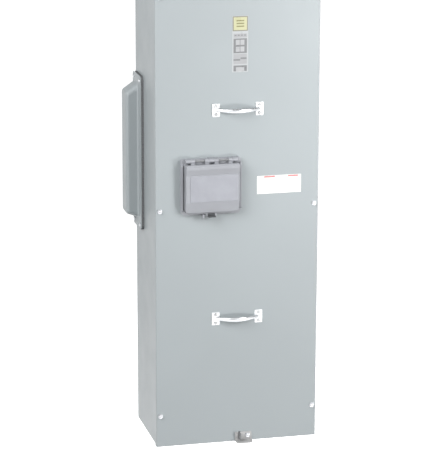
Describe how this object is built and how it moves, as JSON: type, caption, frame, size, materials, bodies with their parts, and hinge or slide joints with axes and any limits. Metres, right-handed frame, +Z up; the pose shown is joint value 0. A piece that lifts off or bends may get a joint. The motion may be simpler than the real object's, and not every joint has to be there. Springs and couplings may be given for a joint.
{
  "type": "automatic transfer switch",
  "caption": "Tall wall-mounted rainproof steel enclosure with a lift-off cover, hinged controller flap, pull handles and side hood over a linked pair of source switches.",
  "frame": {"origin": "centre of the four wall-mounting holes, on the rear face that lies against the wall", "axes": "+Z up, +X to the right as seen from in front, +Y into the wall; the cover faces -Y"},
  "size_m": [0.557, 0.336, 1.5],
  "materials": {
    "grey_paint": "smooth light grey powder coat",
    "pan_paint": "white painted sheet",
    "zinc_steel": "bright zinc plate",
    "handle_steel": "bright plated",
    "gasket": "matt sponge rubber",
    "copper": "tinned or bare copper bar",
    "lug_aluminium": "extruded",
    "insulator": "red-brown glass polyester",
    "switch_black": "moulded thermoset",
    "barrier": "vulcanised fibre",
    "cast_grey": "grey painted casting",
    "flap_paint": "grey painted casting, slightly violet",
    "window_panel": "opaque grey panel",
    "latch_black": "moulded",
    "label_film": "printed film",
    "core_steel": "varnished laminations",
    "coil_tape": "wound coil with tape",
    "duct_grey": "slotted PVC duct",
    "board": "circuit board",
    "controller_case": "moulded case",
    "controller_panel": "overlay",
    "display": "tinted window",
    "button_green": "moulded",
    "button_red": "moulded",
    "button_yellow": "moulded",
    "knob_black": "moulded",
    "handle_red": "dipped grip"
  },
  "bodies": {
    "enclosure": {"box_wrapper": "grey_paint", "top_end_wall": "grey_paint", "bottom_end_wall": "grey_paint", "weather_gaskets": "gasket", "clinch_nuts": "zinc_steel", "padlock_tab": "zinc_steel", "side_hood": "grey_paint", "hood_screws": "zinc_steel", "equipment_pan": "pan_paint", "standoffs": "zinc_steel", "interior_bolts": "zinc_steel", "load_bus_bars": "copper", "neutral_bus": "copper", "bus_supports": "insulator", "line_lugs": "lug_aluminium", "neutral_lugs": "lug_aluminium", "ground_bar": "lug_aluminium", "terminal_strip": "switch_black", "control_transformer": "core_steel", "wiring_duct": "duct_grey", "switch_base": "insulator", "load_straps": "copper", "normal_terminals": "copper", "emergency_terminals": "copper", "side_plates": "cast_grey", "shaft_bushes": "barrier", "phase_barriers": "barrier", "arc_chutes": "switch_black", "solenoid_frame": "core_steel", "solenoid_coil": "coil_tape", "solenoid_bracket": "zinc_steel", "controller_housing": "controller_case", "controller_board": "board", "controller_face": "controller_panel", "display_window": "display", "cross_rails": "zinc_steel"},
    "cover": {"front_cover": "grey_paint", "cover_screws": "zinc_steel", "upper_handle": "handle_steel", "lower_handle": "handle_steel", "handle_screws": "zinc_steel", "nameplate": "label_film", "information_label": "label_film", "hasp_bracket": "zinc_steel", "flap_frame": "flap_paint", "flap_hinge_pin": "zinc_steel"},
    "flap": {"flap_lid": "flap_paint", "flap_window": "window_panel"},
    "latch": {"flap_latch": "latch_black"},
    "normal_operator": {"normal_shaft": "zinc_steel", "normal_contact_arms": "copper", "transfer_handle": "handle_red"},
    "emergency_operator": {"emergency_shaft": "zinc_steel", "emergency_contact_arms": "copper"},
    "interlock": {"interlock_rod": "zinc_steel"},
    "plunger": {"solenoid_plunger": "zinc_steel"},
    "test_key": {"test_button": "button_green"},
    "reset_key": {"reset_button": "button_yellow"},
    "bypass_key": {"bypass_button": "button_red"},
    "selector": {"mode_selector": "knob_black"}
  },
  "joints": [
    {"name": "cover_lift_off", "type": "slide", "parent": "enclosure", "child": "cover", "axis": [0, -1, 0], "range_m": [0, 0.35]},
    {"name": "flap_hinge", "type": "hinge", "parent": "cover", "child": "flap", "pos_m": [-0.085, -0.311, 0.154], "axis": [-1, 0, 0], "range_deg": [0, 105]},
    {"name": "latch_pivot", "type": "hinge", "parent": "flap", "child": "latch", "pos_m": [-0.087, -0.314, -0.0135], "axis": [-1, 0, 0], "range_deg": [0, 15], "stiffness_Nm_per_rad": 0.05, "springref_deg": -11.46},
    {"name": "normal_shaft_turn", "type": "hinge", "parent": "enclosure", "child": "normal_operator", "pos_m": [0, -0.15, 0.1], "axis": [1, 0, 0], "range_deg": [0, 28]},
    {"name": "emergency_shaft_turn", "type": "hinge", "parent": "enclosure", "child": "emergency_operator", "pos_m": [0, -0.15, -0.08], "axis": [1, 0, 0], "range_deg": [0, 28]},
    {"name": "interlock_rod_pivot", "type": "hinge", "parent": "normal_operator", "child": "interlock", "pos_m": [0.178, -0.17911, 0.10726], "axis": [1, 0, 0], "range_deg": [-28, 0]},
    {"name": "plunger_slide", "type": "slide", "parent": "enclosure", "child": "plunger", "axis": [0, 0, -1], "range_m": [0, 0.0194]},
    {"name": "test_button_press", "type": "slide", "parent": "enclosure", "child": "test_key", "axis": [0, 1, 0], "range_m": [0, 0.002], "stiffness_N_per_m": 400},
    {"name": "reset_button_press", "type": "slide", "parent": "enclosure", "child": "reset_key", "axis": [0, 1, 0], "range_m": [0, 0.002], "stiffness_N_per_m": 400},
    {"name": "bypass_button_press", "type": "slide", "parent": "enclosure", "child": "bypass_key", "axis": [0, 1, 0], "range_m": [0, 0.002], "stiffness_N_per_m": 400},
    {"name": "mode_selector_turn", "type": "hinge", "parent": "enclosure", "child": "selector", "pos_m": [-0.037, -0.297, 0.035], "axis": [0, -1, 0], "range_deg": [-45, 45]}
  ],
  "couplings": [
    {"joint": "emergency_shaft_turn", "follows": "normal_shaft_turn", "ratio": 1},
    {"joint": "interlock_rod_pivot", "follows": "normal_shaft_turn", "ratio": -1},
    {"joint": "plunger_slide", "follows": "normal_shaft_turn", "m_per_rad": 0.039603}
  ]
}
